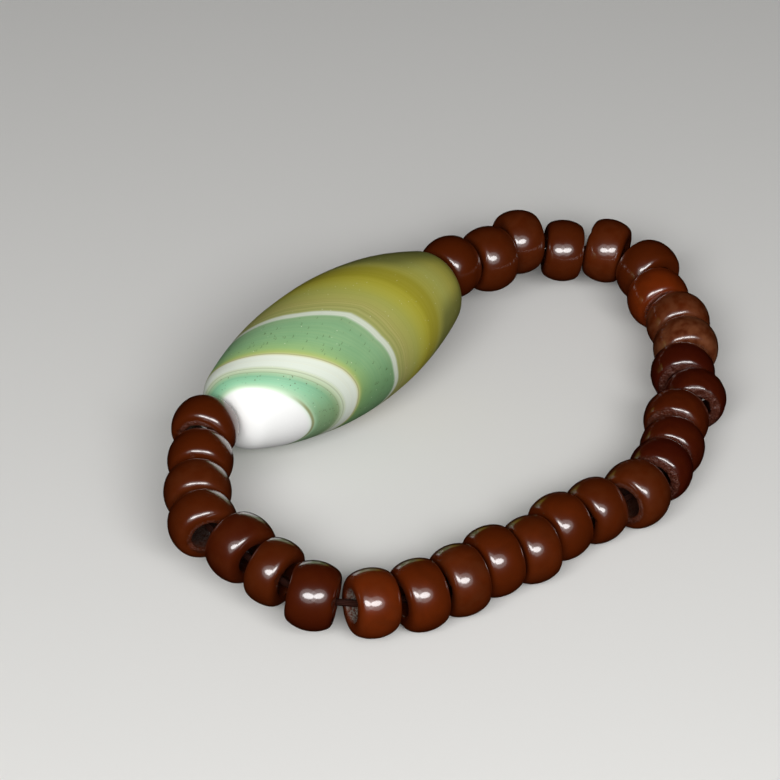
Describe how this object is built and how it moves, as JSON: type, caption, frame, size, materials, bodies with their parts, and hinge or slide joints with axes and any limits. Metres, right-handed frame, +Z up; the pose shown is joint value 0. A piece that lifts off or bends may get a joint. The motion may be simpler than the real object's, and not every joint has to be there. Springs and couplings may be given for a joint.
{
  "type": "dzi bead bracelet",
  "caption": "Wrist bracelet lying flat: one large banded agate barrel bead and a loop of small drilled carnelian barrel beads on an elastic cord.",
  "frame": {"origin": "middle of the bracelet's box in X and Y, on the surface that the bracelet lies on", "axes": "+X along the large bead's hole, +Y towards the side where the large bead lies, +Z up"},
  "size_m": [0.0833, 0.0534, 0.0172],
  "materials": {
    "banded_agate": "satin",
    "carnelian": "gloss",
    "elastic_cord": "satin"
  },
  "bodies": {
    "root": {"dzi_bead": "banded_agate", "bead_01": "carnelian", "bead_02": "carnelian", "bead_03": "carnelian", "bead_04": "carnelian", "bead_05": "carnelian", "bead_06": "carnelian", "bead_07": "carnelian", "bead_08": "carnelian", "bead_09": "carnelian", "bead_10": "carnelian", "bead_11": "carnelian", "bead_12": "carnelian", "bead_13": "carnelian", "bead_14": "carnelian", "bead_15": "carnelian", "bead_16": "carnelian", "bead_17": "carnelian", "bead_18": "carnelian", "bead_19": "carnelian", "bead_20": "carnelian", "bead_21": "carnelian", "bead_22": "carnelian", "bead_23": "carnelian", "bead_24": "carnelian", "bead_25": "carnelian", "bead_26": "carnelian", "bead_27": "carnelian", "bead_28": "carnelian", "bead_29": "carnelian", "cord": "elastic_cord"}
  },
  "joints": []
}
